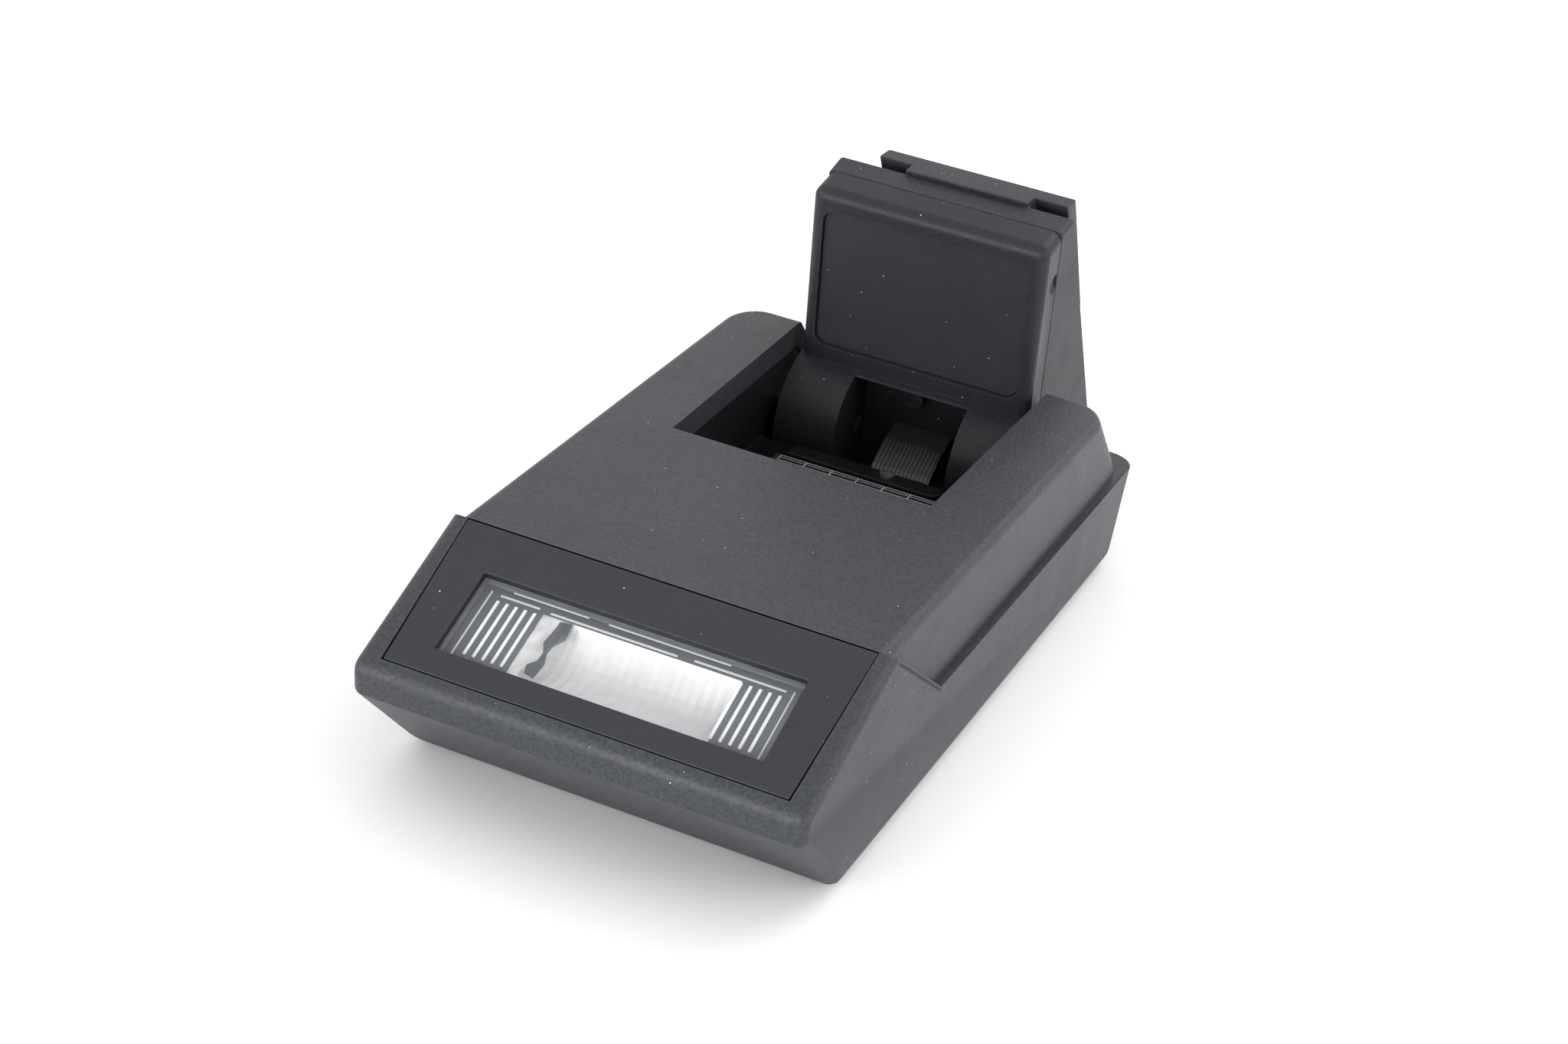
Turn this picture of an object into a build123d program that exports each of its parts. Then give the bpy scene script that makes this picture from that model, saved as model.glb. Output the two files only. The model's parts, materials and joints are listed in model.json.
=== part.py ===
"""Pocket electronic flash unit with a fold-out shoe block.

Millimetres. X is the width, Y the length (the flash window looks to -Y), Z is up.
The origin is the middle of the width, on the plane the unit stands on, under the front
edge of the pocket that the shoe block folds into.
"""
import os
from math import atan2, cos, radians, sin, tan

from build123d import *

# ---- overall sizes -------------------------------------------------------------------
body_height = 18.8
half_width = 19.25          # of the lower body, at y = 0
side_taper = 0.0087         # how much each side moves out for each mm towards the rear
wall = 1.2
floor_thickness = 2.2
parting_height = 10.0       # where the cover sits on the lower body
ledge = 0.75                # step in from the lower body's side to the cover's side
seam = 0.15                 # open line between neighbouring mouldings
cover_seam = 0.05           # between the cover's front edge and the bezel
gusset = 3.6                # of solid ledge at each rear corner

# ---- side outline --------------------------------------------------------------------
slope_angle = 24.65         # of the window face below the horizontal
slope_length = 16.2
cover_front = -25.8
cover_front_foot = -12.5    # where the slanted front edge of the cover meets the ledge
arm_top_rear = 29.6
cover_rear_foot = 39.4
lower_rear_top = 40.6
lower_rear_bottom = 38.6
lip_bottom = 9.4
lip_bottom_back = 0.45
belly_front = -29.6
lip_radius = 1.4
belly_radius = 2.0
corner_radius = 2.6
cover_corner_radius = 3.2
cover_edge_radius = 0.9

# ---- window --------------------------------------------------------------------------
bezel_length = 14.8
bezel_half_top = 17.5
bezel_half_bottom = 16.8
bezel_thickness = 1.2
bezel_floor = 1.0
window_half = 13.7
window_start = 4.4          # down the slope from the cover's edge
window_end = 12.4
lens_clearance = 0.12
lens_proud = 0.75           # part of the bezel's thickness that the lens fills
flange_margin = 0.9
flange_thickness = 0.8
reflector_depth = 4.6
reflector_half = 10.0
tube_radius = 1.5
tube_half = 12.6
tube_depth = 2.6            # of its axis, below the lens flange
sleeve_radius = 1.8
sleeve_length = 2.6

# ---- pocket and hinge ----------------------------------------------------------------
pocket_half_front = 11.9
pocket_half_rear = 12.4
rim_depth = 2.5
rim_width = 0.8
pocket_floor = 9.2
liner_wall = 0.8
hinge_y = 29.6
hinge_z = 10.6
barrel_radius = 6.1
barrel_gap = 0.5
pin_radius = 1.2
pin_clearance = 0.05
ear_rear = 33.6
ear_radius = 2.3
ear_length = 0.9

# ---- shoe block, in its own axes: u along its height, v through its thickness ----------
block_lean = 10.8           # forward of upright, when it is folded out
block_half = 11.4
block_front = -0.63
block_top = 24.0
block_split = 3.0
block_rounding = 1.1
panel_half = 10.1
panel_low = 7.7
panel_high = 22.0
panel_radius = 1.3
panel_inset = 0.4
panel_thickness = 0.5
window_left = -5.4
window_right = 6.0
window_top = 5.9
window_back = 2.2
wedge_top_depth = 5.9
wedge_lean = 24.4           # of the wedge's rear face from the block's front
wedge_low = -4.5
knob_x = -0.3
groove_width = 0.2          # of the open line between the block's two halves
groove_depth = 0.4
notch_radius = 1.6          # fingernail scoop beside the block's parting line
notch_u = 19.0
notch_v = 2.4
wedge_half_rear = 12.0
block_wall = 1.2

# ---- accessory shoe foot ---------------------------------------------------------------
foot_width = 18.6
foot_thickness = 2.0
foot_gap = 1.5
foot_length = 19.0
foot_neck = 12.0
foot_offset = 1.05
contact_radius = 1.0

# ---- inside ----------------------------------------------------------------------------
battery_radius = 6.5
battery_length = 25.2
battery_y = -8.6
battery_z = 8.2
holder_half_length = 15.3
holder_half_width = 6.95
capacitor_radius = 5.25
capacitor_length = 26.0
capacitor_y = -21.1
capacitor_z = 7.45
board_thickness = 1.0
main_board_z = 15.5
power_board_z = 2.2
screw_radius = 1.0
screw_x = 15.5
screw_y = -22.0

# ---- battery door and rear controls ------------------------------------------------------
door_half = 15.5
door_front = -17.5
door_thickness = 1.3
door_clearance = 0.1
tongue_width = 0.6
tongue_low = 0.45
tongue_high = 0.9
control_x = 15.5
button_radius = 1.5
button_proud = 0.7
button_travel = 0.5
button_clearance = 0.08
lamp_radius = 1.4

FAR = 80.0                  # beyond every piece, for cutting tools

os.makedirs("parts", exist_ok=True)

slope = radians(slope_angle)
SLOPE = Plane(origin=(0, cover_front, body_height), x_dir=(1, 0, 0),
              z_dir=(0, -sin(slope), cos(slope)))
lean = radians(block_lean)
BLOCK = Plane(origin=(0, hinge_y, hinge_z), x_dir=(0, -sin(lean), cos(lean)),
              z_dir=(-1, 0, 0))
foot_angle = radians(wedge_lean)


def save(shape, node):
    """Write one named piece."""
    shape.label = node
    export_step(shape, f"parts/{node}.step")


def box(x0, x1, y0, y1, z0, z1):
    """A box between two corners."""
    return Pos((x0 + x1) / 2, (y0 + y1) / 2, (z0 + z1) / 2) * Box(x1 - x0, y1 - y0, z1 - z0)


def side_prism(points, x0=-FAR, x1=FAR, radii=None):
    """A closed (y, z) outline drawn out along X."""
    corners = [(0, y, z) for y, z in points]
    if radii is None:
        outline = Polyline(*corners, close=True)
    else:
        outline = FilletPolyline(*corners, radius=radii, close=True)
    face = make_face(outline)
    return Pos(x0, 0, 0) * extrude(face, amount=x1 - x0, dir=(1, 0, 0))


def side_at(y, inset=0.0):
    """Half-width of the lower body at y, less an inset."""
    return half_width + side_taper * y - inset


def plan_prism(inset=0.0):
    """The space between the two slightly tapered sides."""
    near, far = -50.0, 60.0
    a, b = side_at(near, inset), side_at(far, inset)
    face = make_face(Polyline((-a, near), (a, near), (b, far), (-b, far), close=True))
    return Pos(0, 0, -5) * extrude(face, amount=40)


def opening_prism(grow, y0, y1, z0, z1):
    """The pocket's plan, widening to the rear, between two heights."""
    rate = (pocket_half_rear - pocket_half_front) / arm_top_rear
    a = pocket_half_front + rate * y0 + grow
    b = pocket_half_front + rate * y1 + grow
    face = make_face(Polyline((-a, y0), (a, y0), (b, y1), (-b, y1), close=True))
    return Pos(0, 0, z0) * extrude(face, amount=z1 - z0)


def slope_box(x0, x1, s0, s1, d0, d1):
    """A box in the window slope's axes: across, down the slope, and inwards."""
    block = box(x0, x1, -s1, -s0, -d1, -d0)
    return SLOPE * block


def slope_plate(half_top, half_bottom, s0, s1, d0, d1):
    """A plate in the slope that narrows towards the lip."""
    face = make_face(Polyline((-half_top, -s0), (half_top, -s0), (half_bottom, -s1),
                              (-half_bottom, -s1), close=True))
    return SLOPE * (Pos(0, 0, -d1) * extrude(face, amount=d1 - d0))


def block_prism(points, x0, x1, radii=None):
    """A closed (u, v) outline in the shoe block's axes, drawn out from x0 to x1."""
    corners = [(u, v) for u, v in points]
    if radii is None:
        outline = Polyline(*corners, close=True)
    else:
        outline = FilletPolyline(*corners, radius=radii, close=True)
    face = make_face(outline)
    return BLOCK * (Pos(0, 0, -x1) * extrude(face, amount=x1 - x0))


def block_box(x0, x1, u0, u1, v0, v1):
    """A box in the shoe block's axes."""
    return block_prism([(u0, v0), (u1, v0), (u1, v1), (u0, v1)], x0, x1)


def hinge_cylinder(radius, x0, x1):
    """A cylinder on the hinge axis."""
    body = Rot(0, 90, 0) * Cylinder(radius, x1 - x0)
    return Pos((x0 + x1) / 2, hinge_y, hinge_z) * body


# ---- body outline -----------------------------------------------------------------------
lip_front = (cover_front - slope_length * cos(slope), body_height - slope_length * sin(slope))
lip_foot = (lip_front[0] + lip_bottom_back, lip_bottom)


rear_slope = atan2(body_height - parting_height, cover_rear_foot - arm_top_rear)
rear_slope_depth = 2.0      # of the liner's walls under the arms' rear slope


def rear_slope_y(z, depth):
    """Where a plane some way under the arms' rear slope is at height z."""
    return arm_top_rear + (body_height - z) / tan(rear_slope) - depth / sin(rear_slope)


def rear_slope_z(y, depth):
    """Height of the same plane at y."""
    return body_height - (y - arm_top_rear + depth / sin(rear_slope)) * tan(rear_slope)


def lower_outline():
    """The lower body's outside, with its full-height head."""
    points = [(cover_front, body_height), lip_front, lip_foot, (belly_front, 0),
              (lower_rear_bottom, 0), (lower_rear_top, parting_height),
              (cover_front_foot, parting_height)]
    radii = [0, lip_radius, lip_bottom_back, 0, 0, 0, 0]
    body = side_prism(points, radii=radii) & plan_prism()
    body = fillet(rear_corner_edges(body, lower_rear_bottom - 2), corner_radius)
    body = fillet(bottom_edges(body), belly_radius)
    return fillet(slope_side_edges(body), cover_edge_radius)


def slope_inner(y):
    """Height of the head's inner face under the slope at y."""
    depth = bezel_thickness + bezel_floor
    return body_height - (cover_front - y) * tan(slope) - depth / cos(slope)


def lower_cavity():
    """The hollow inside the lower body, open upwards to the cover."""
    front = lip_front[0] + wall + 0.6
    inner_end = cover_front_foot
    roof_end = cover_front + 0.5
    top = body_height + 1
    points = [(inner_end, top), (roof_end, top), (roof_end, slope_inner(roof_end)),
              (front, slope_inner(front)),
              (front, lip_bottom), (belly_front + wall, floor_thickness),
              (lower_rear_bottom - wall, floor_thickness),
              (lower_rear_top - wall, parting_height + 1.0),
              (inner_end, parting_height + 1.0)]
    return side_prism(points) & plan_prism(wall)


def edges_along_y(shape, height, reach):
    """Long edges near a height and at least reach long."""
    return [e for e in shape.edges()
            if e.length > reach and abs(e.center().Z - height) < 0.05
            and abs(e.center().X) > half_width / 2]


def rear_corner_edges(shape, y_min):
    """Edges that run down the rear corners."""
    found = []
    for edge in shape.edges():
        middle = edge.center()
        rise = abs((edge @ 1).Z - (edge @ 0).Z)
        if middle.Y > y_min and abs(middle.X) > half_width - 3 and rise > 5:
            found.append(edge)
    return found


def bottom_edges(shape):
    """The loop of edges around the underside."""
    return [e for e in shape.edges() if abs((e @ 0).Z) < 0.01 and abs((e @ 1).Z) < 0.01]


def slope_side_edges(shape):
    """The two outside edges of the head's slope."""
    found = []
    for edge in shape.edges():
        middle = edge.center()
        on_plane = abs(SLOPE.to_local_coords(middle).Z) < 0.05
        if on_plane and abs(middle.X) > half_width - 2 and edge.length > slope_length / 2:
            found.append(edge)
    return found


def bezel_recess():
    """The step in the head that the bezel lies in."""
    return slope_plate(bezel_half_top + seam, bezel_half_bottom + seam, -2.0,
                       bezel_length + seam, -1.0, bezel_thickness)


def lens_hole(margin):
    """The window's outline cut through the slope."""
    return slope_box(-window_half - margin, window_half + margin, window_start - margin,
                     window_end + margin, -1.0, 6.0)


def door_tool(extra):
    """The battery door's slab and its side tongues, grown by a clearance."""
    slab = box(-door_half - extra, door_half + extra, door_front - extra, FAR,
               -1.0, door_thickness + extra)
    reach = door_half + tongue_width + extra
    tongues = box(-reach, reach, door_front - extra, FAR, tongue_low - extra, tongue_high + extra)
    return slab + tongues


def control_plane():
    """A plane on the cover's rear slope, its normal pointing out."""
    run = cover_rear_foot - arm_top_rear
    drop = body_height - parting_height
    normal = Vector(0, drop, run).normalized()
    middle = ((arm_top_rear + cover_rear_foot) / 2, (body_height + parting_height) / 2)
    return Plane(origin=(0, middle[0], middle[1]), x_dir=(1, 0, 0), z_dir=normal)


def lower_shell():
    """Head, side walls and floor in one moulding."""
    body = lower_outline()
    body -= lower_cavity()
    body -= bezel_recess()
    body -= lens_hole(flange_margin + lens_clearance)
    for side in (-1, 1):
        inner, outer = sorted((side * (half_width - gusset), side * FAR))
        corner = box(inner, outer, lower_rear_top - gusset, FAR, parting_height - wall,
                     parting_height)
        body += corner & lower_outline()
    body -= door_tool(door_clearance)
    body -= box(-battery_length / 2 - 1.5, battery_length / 2 + 1.5,
                battery_y - battery_radius, battery_y + battery_radius, -1, floor_thickness + 1)
    gap_half = pocket_half_rear
    body -= box(-gap_half, gap_half, ear_rear, FAR, pocket_floor - 3.4, FAR)
    for side in (-1, 1):
        inner, outer = sorted((side * pocket_half_rear, side * (pocket_half_rear + liner_wall)))
        cheek = box(inner, outer, ear_rear + seam, lower_rear_top - wall,
                    hinge_z - barrel_radius + 0.05, parting_height)
        body += cheek
        body -= Pos(side * screw_x, screw_y, 0) * Cylinder(screw_radius + 0.15, 20)
        body -= Pos(side * screw_x, screw_y, 0) * Cylinder(2.1, 2.0)
    return body


def top_cover():
    """Flat cover with a pocket opening between two rear arms."""
    points = [(cover_front + cover_seam, body_height),
              (cover_front_foot + cover_seam, parting_height),
              (cover_rear_foot, parting_height), (arm_top_rear, body_height)]
    body = side_prism(points) & plan_prism(ledge)
    body = fillet(rear_corner_edges(body, arm_top_rear), cover_corner_radius)
    top_edges = [e for e in body.edges() if abs(e.center().Z - body_height) < 0.05
                 and e.center().Y > cover_front + 1]
    body = fillet(top_edges, cover_edge_radius)
    inner_top = body_height - wall
    low = parting_height - 1
    hollow = side_prism([(-FAR, inner_top), (-FAR, low), (rear_slope_y(low, wall), low),
                         (rear_slope_y(inner_top, wall), inner_top)])
    body -= hollow & plan_prism(ledge + wall)
    rim_z = body_height - rim_depth
    body += opening_prism(rim_width, -rim_width, ear_rear, rim_z, inner_top + 0.2) & side_prism(points)
    for side in (-1, 1):
        inner, outer = sorted((side * pocket_half_rear, side * (pocket_half_rear + liner_wall)))
        behind = ear_rear + seam
        over = rear_slope_depth - seam
        rim_low = body_height - rim_depth
        cheek = side_prism([(behind, parting_height), (behind, rear_slope_z(behind, over)),
                            (rear_slope_y(rim_low, over), rim_low),
                            (rear_slope_y(rim_low, over), inner_top + 0.1),
                            (rear_slope_y(inner_top, 0.1), inner_top + 0.1),
                            (rear_slope_y(parting_height, 0.1), parting_height)], inner, outer)
        body += cheek & side_prism(points)
        boss_foot = floor_thickness + 0.1
        boss = Pos(side * screw_x, screw_y, 0) * Cylinder(
            2.2, inner_top - boss_foot, align=(Align.CENTER, Align.CENTER, Align.MIN))
        body += Pos(0, 0, boss_foot) * boss
        pilot = Pos(side * screw_x, screw_y, boss_foot) * Cylinder(
            screw_radius, 10, align=(Align.CENTER, Align.CENTER, Align.MIN))
        body -= pilot
        plane = control_plane()
        radius = button_radius + button_clearance if side < 0 else lamp_radius + 0.02
        body -= plane * (Pos(side * control_x, 0, 0) * Cylinder(radius, 8))
    body -= opening_prism(0, 0, FAR, pocket_floor - 2, FAR)
    return body


def pocket_hollow(grow):
    """The space the folded block and the hinge barrel need."""
    rear = lower_rear_bottom - wall - 0.4
    space = box(-FAR, FAR, -grow, hinge_y, pocket_floor - grow, FAR)
    space += hinge_cylinder(barrel_radius + barrel_gap + grow, -FAR, FAR)
    space += box(-FAR, FAR, hinge_y, rear, hinge_z - barrel_radius - barrel_gap - grow, FAR)
    return space


def pocket_liner():
    """Tub under the opening, with two ears that hold the hinge pins."""
    top = body_height - rim_depth
    rear = lower_rear_bottom - wall - 0.4
    outside = opening_prism(liner_wall, -liner_wall, rear, 0, top) & pocket_hollow(liner_wall)
    tub = outside - (opening_prism(0.05, 0, FAR, -1, FAR) & pocket_hollow(0))
    tub -= box(-FAR, FAR, ear_rear, FAR, hinge_z - barrel_radius, FAR)
    high = rear_slope_y(top, rear_slope_depth)
    low = rear_slope_y(0, rear_slope_depth)
    tub -= side_prism([(high, top), (high, top + 1), (low, top + 1), (low, 0)])
    for side in (-1, 1):
        start = pocket_half_rear + liner_wall - 0.2
        inner, outer = sorted((side * start, side * (start + ear_length)))
        ear = hinge_cylinder(ear_radius, inner, outer)
        tub += ear
    tub -= hinge_cylinder(pin_radius, -FAR, FAR)
    return tub


def hinge_pins():
    """Two stub pins pressed into the liner's ears."""
    start = block_half - 4.6
    end = pocket_half_rear + liner_wall + ear_length - 0.4
    return Compound([hinge_cylinder(pin_radius, -end, -start), hinge_cylinder(pin_radius, start, end)])


def window_bezel():
    """Flat frame set into the slope around the window."""
    plate = slope_plate(bezel_half_top, bezel_half_bottom, cover_seam, bezel_length, 0,
                        bezel_thickness)
    hole = slope_box(-window_half, window_half, window_start, window_end, -1, 3)
    return plate - hole


def window_lens():
    """Clear window: a block in the opening on a wider flange behind the bezel."""
    c = lens_clearance
    m = flange_margin
    front = slope_box(-window_half + c, window_half - c, window_start + c, window_end - c,
                      bezel_thickness - lens_proud, bezel_thickness)
    flange = slope_box(-window_half - m, window_half + m, window_start - m, window_end + m,
                       bezel_thickness, bezel_thickness + flange_thickness)
    return front + flange


lens_back = bezel_thickness + flange_thickness
window_middle = (window_start + window_end) / 2


def reflector():
    """Polished trough behind the window, with end walls."""
    half = window_half + flange_margin - 0.2
    half_s = (window_end - window_start) / 2 + flange_margin - 0.2
    shell = slope_box(-half, half, window_middle - half_s, window_middle + half_s,
                      lens_back, lens_back + 0.8)
    trough_half = (window_end - window_start) / 2 + 0.3
    shell += slope_box(-reflector_half - 0.8, reflector_half + 0.8, window_middle - trough_half,
                       window_middle + trough_half, lens_back, lens_back + reflector_depth)
    inner = trough_half - 0.7
    bottom = lens_back + reflector_depth - 0.6
    face = make_face(Polyline((-window_middle - inner, -lens_back + 0.5),
                              (-window_middle + inner, -lens_back + 0.5),
                              (-window_middle + inner, -lens_back - 0.3),
                              (-window_middle + inner * 0.45, -bottom),
                              (-window_middle - inner * 0.45, -bottom),
                              (-window_middle - inner, -lens_back - 0.3), close=True))
    section = Plane(origin=(0, 0, 0), x_dir=(0, 1, 0), z_dir=(1, 0, 0)) * face
    cut = SLOPE * (Pos(-reflector_half, 0, 0) * extrude(section, amount=2 * reflector_half,
                                                        dir=(1, 0, 0)))
    shell -= cut
    return shell - tube_axis_cylinder(tube_radius + 0.3, -FAR, FAR)


def tube_axis_cylinder(radius, x0, x1):
    """A cylinder on the flash tube's axis."""
    body = Rot(0, 90, 0) * Cylinder(radius, x1 - x0)
    return SLOPE * (Pos((x0 + x1) / 2, -window_middle, -lens_back - tube_depth) * body)


def xenon_tube():
    """Glass flash tube across the reflector, with its metal end posts."""
    tube = tube_axis_cylinder(tube_radius, -tube_half, tube_half)
    for side in (-1, 1):
        a, b = sorted((side * (tube_half - 0.3), side * (tube_half + 2.2)))
        tube += tube_axis_cylinder(0.45, a, b)
    return tube


def tube_sleeves():
    """Rubber sleeves that seat the tube's ends in the reflector's end walls."""
    sleeves = []
    for side in (-1, 1):
        a, b = sorted((side * (reflector_half + 0.8), side * (reflector_half + 0.8 + sleeve_length)))
        ring = tube_axis_cylinder(sleeve_radius, a, b) - tube_axis_cylinder(tube_radius, -FAR, FAR)
        sleeves.append(ring)
    return Compound(sleeves)


def main_capacitor():
    """Storage capacitor lying across the front of the body."""
    body = Rot(0, 90, 0) * Cylinder(capacitor_radius, capacitor_length)
    ends = [e for e in body.edges().filter_by(GeomType.CIRCLE)]
    body = fillet(ends, 0.6)
    return Pos(0, capacitor_y, capacitor_z) * body


def capacitor_cradle():
    """Two saddles on the floor that carry the capacitor."""
    saddles = []
    for x in (-8.0, 8.0):
        block = box(x - 1, x + 1, capacitor_y - 4, capacitor_y + 4, floor_thickness,
                    capacitor_z - 2)
        cut = Pos(0, capacitor_y, capacitor_z) * (Rot(0, 90, 0) * Cylinder(capacitor_radius, FAR))
        saddles.append(block - cut)
    return Compound(saddles)


def battery():
    """Six-volt stack cell lying across the body, with its raised contact."""
    radius, half = battery_radius, battery_length / 2
    cell = Rot(0, 90, 0) * Cylinder(radius, battery_length - 0.8)
    cell = Pos(-0.4, 0, 0) * fillet(cell.edges().filter_by(GeomType.CIRCLE), 0.5)
    cell += Pos(half - 0.5, 0, 0) * (Rot(0, 90, 0) * Cylinder(2.8, 1.0))
    return Pos(0, battery_y, battery_z) * cell


def battery_holder():
    """Cradle over the battery, open to the door below."""
    top = main_board_z - 0.1
    low = floor_thickness
    frame = box(-holder_half_length, holder_half_length, battery_y - holder_half_width,
                battery_y + holder_half_width, low, top)
    inner = battery_length / 2 + 1.0
    frame -= box(-inner, inner, battery_y - battery_radius - 0.1, battery_y + battery_radius + 0.1,
                 0, battery_z)
    vault = Rot(0, 90, 0) * Cylinder(battery_radius + 0.1, 2 * inner)
    frame -= Pos(0, battery_y, battery_z) * vault
    return frame


def battery_contacts():
    """Nickel strips at the two ends of the battery, one with a coil bump."""
    inner = battery_length / 2 + 1.0
    strips = []
    for side in (-1, 1):
        a, b = sorted((side * (inner - 0.35), side * inner))
        strip = box(a, b, battery_y - 4, battery_y + 4, battery_z - 4.5, battery_z + 4)
        c, d = sorted((side * (battery_length / 2 + 0.02), side * (inner - 0.3)))
        bump = Pos((c + d) / 2, battery_y, battery_z) * (Rot(0, 90, 0) * Cylinder(1.8, d - c))
        strips.append(strip + bump)
    return Compound(strips)


def main_board():
    """Control board under the cover, with its small components."""
    board = box(-12.8, 12.8, -23.5, battery_y + holder_half_width, main_board_z,
                main_board_z + board_thickness)
    parts = [(-9, -20, 3, 2, 0.9), (-3, -19, 4, 3, 0.8), (4, -20, 2.4, 2.4, 0.9),
             (9, -17, 2, 3.4, 0.9), (-8, -10, 5, 4, 0.8), (2, -8, 3, 2, 0.9), (8, -7, 2, 2, 0.9)]
    for x, y, length, width, height in parts:
        board += box(x, x + length, y, y + width, main_board_z + board_thickness - 0.1,
                     main_board_z + board_thickness + height)
    return board


def power_board():
    """Small board under the pocket for the converter."""
    board = box(-11, 11, 1.5, 21, power_board_z, power_board_z + board_thickness)
    return board


def transformer():
    """Converter transformer: a wound bobbin between two ferrite cheeks."""
    low = power_board_z + board_thickness
    high = pocket_floor - liner_wall - 0.1
    core = box(-8, 2, 6, 15, low, low + 1.2) + box(-8, 2, 6, 15, high - 1.2, high)
    core += Pos(-3, 10.5, (low + high) / 2) * Cylinder(3.6, high - low)
    return core


def trigger_coil():
    """Trigger pulse coil standing beside the transformer."""
    low = power_board_z + board_thickness
    coil = Rot(90, 0, 0) * Cylinder(2.2, 8)
    return Pos(6.8, 10.5, low + 2.2) * coil


def case_screws():
    """Two screws from the underside into the cover's bosses."""
    screws = []
    for side in (-1, 1):
        shank = Pos(side * screw_x, screw_y, 1.0) * Cylinder(
            screw_radius - 0.03, 9.5, align=(Align.CENTER, Align.CENTER, Align.MIN))
        head = Pos(side * screw_x, screw_y, 0.2) * Cylinder(
            1.9, 0.8, align=(Align.CENTER, Align.CENTER, Align.MIN))
        head -= box(side * screw_x - 1.3, side * screw_x + 1.3, screw_y - 0.25, screw_y + 0.25,
                    0, 0.6)
        head -= box(side * screw_x - 0.25, side * screw_x + 0.25, screw_y - 1.3, screw_y + 1.3,
                    0, 0.6)
        screws.append(shank + head)
    return Compound(screws)


def battery_door():
    """Long bottom plate that slides off to the rear."""
    door = door_tool(0) - box(-FAR, FAR, -FAR, door_front, -FAR, FAR)
    door = door & lower_outline() & box(-FAR, FAR, door_front, lower_rear_bottom, 0, FAR)
    for k in range(6):
        y = 24.0 + 1.6 * k
        door -= box(-6, 6, y, y + 0.7, -1, 0.35)
    return door


def floor_label():
    """Blank plate on the pocket's floor."""
    return box(-9.5, 9.0, 2.0, 20.3, pocket_floor, pocket_floor + 0.2)


def switch_bar():
    """Black bar at the rear of the pocket's floor, with a small eyelet."""
    top = pocket_floor + 0.5
    bar = box(-8.6, 5.4, 20.5, 22.7, pocket_floor, top)
    bar += Pos(5.4, 21.6, pocket_floor) * Cylinder(
        1.1, 0.5, align=(Align.CENTER, Align.CENTER, Align.MIN))
    return bar


def switch_eyelet():
    """Metal eyelet on the bar."""
    base = pocket_floor + 0.5
    ring = Pos(0.9, 22.0, base) * Cylinder(0.7, 0.2, align=(Align.CENTER, Align.CENTER, Align.MIN))
    return ring


def test_button():
    """Round push button in the left arm's rear slope."""
    plane = control_plane()
    normal_in = wall + 0.6
    stem = Pos(-control_x, 0, (button_proud - normal_in) / 2) * Cylinder(
        button_radius, button_proud + normal_in)
    stem = fillet(stem.edges().sort_by(Axis.Z)[-1:], 0.4)
    collar = Pos(-control_x, 0, -wall - 0.3) * Cylinder(button_radius + 0.35, 0.5)
    return plane * (stem + collar)


def test_switch():
    """Contact block under the test button."""
    plane = control_plane()
    depth = wall + 0.6 + button_travel + 0.1
    body = box(-control_x - 1.5, -control_x + 1.5, -1.5, 1.5, -depth - 2.4, -depth)
    return plane * body


def ready_lamp():
    """Ready light in the right arm's rear slope."""
    plane = control_plane()
    lens = Pos(control_x, 0, (0.4 - wall - 0.8) / 2) * Cylinder(lamp_radius, 0.4 + wall + 0.8)
    lens = fillet(lens.edges().sort_by(Axis.Z)[-1:], 0.35)
    flange = Pos(control_x, 0, -wall - 0.55) * Cylinder(lamp_radius + 0.4, 0.5)
    return plane * (lens + flange)


def control_brackets():
    """Two small posts on the floor of the arms that carry the switch and the lamp."""
    plane = control_plane()
    posts = []
    depth = wall + 0.6 + button_travel + 0.1 + 2.4
    left = plane * box(-control_x - 1.2, -control_x + 1.2, -1.5, 1.5, -FAR, -depth)
    right = plane * box(control_x - 1.2, control_x + 1.2, -1.5, 1.5, -FAR, -wall - 0.8)
    limit = box(-FAR, FAR, 20, lower_rear_top - wall - 0.5, floor_thickness, FAR)
    limit = limit & (plan_prism(wall + 0.05))
    for post in (left, right):
        posts.append(post & limit)
    return Compound(posts)


# ---- shoe block ---------------------------------------------------------------------------
def wedge_depth(u):
    """Depth of the wedge's rear face at height u."""
    return wedge_top_depth + (block_top - u) * tan(foot_angle)


def block_front_shell():
    """Front half of the block, with the hinge barrel and its window."""
    outer = block_prism([(0, block_front), (block_top, block_front), (block_top, block_split),
                         (0, block_split)], -block_half, block_half)
    corners = [e for e in outer.edges() if block_local(e.center())[0] > block_top - 0.1
               and block_local(e.center())[1] < block_split - 0.1]
    sides = [e for e in outer.edges() if abs(block_local(e.center())[1] - block_front) < 0.1
             and abs(e.center().X) > block_half - 0.1]
    outer = fillet(corners + sides, block_rounding)
    outer += hinge_cylinder(barrel_radius, -block_half, block_half)
    keep = block_box(-FAR, FAR, -FAR, FAR, -FAR, block_split)
    outer = outer & keep
    recess = block_box(-panel_half - 0.05, panel_half + 0.05, panel_low - 0.05, panel_high + 0.05,
                       -5, block_front + panel_inset + panel_thickness)
    posts = [e for e in recess.edges() if block_local(e.center())[1] > -5 + 0.1
             and block_local(e.center())[1] < block_front + panel_inset + panel_thickness - 0.1]
    outer -= fillet(posts, panel_radius)
    outer -= block_box(-block_half + block_wall, block_half - block_wall, window_top + 1.3,
                       block_top - block_wall, front_shell_floor,
                       FAR)
    outer -= block_box(window_left, window_right, -FAR, window_top, -FAR, window_back)
    outer -= hinge_cylinder(pin_radius + pin_clearance, -FAR, FAR)
    scoop = BLOCK * (Pos(notch_u, notch_v, -block_half - 1.25) * Sphere(notch_radius))
    return outer - scoop


front_shell_floor = block_front + panel_inset + panel_thickness + 0.9


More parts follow.
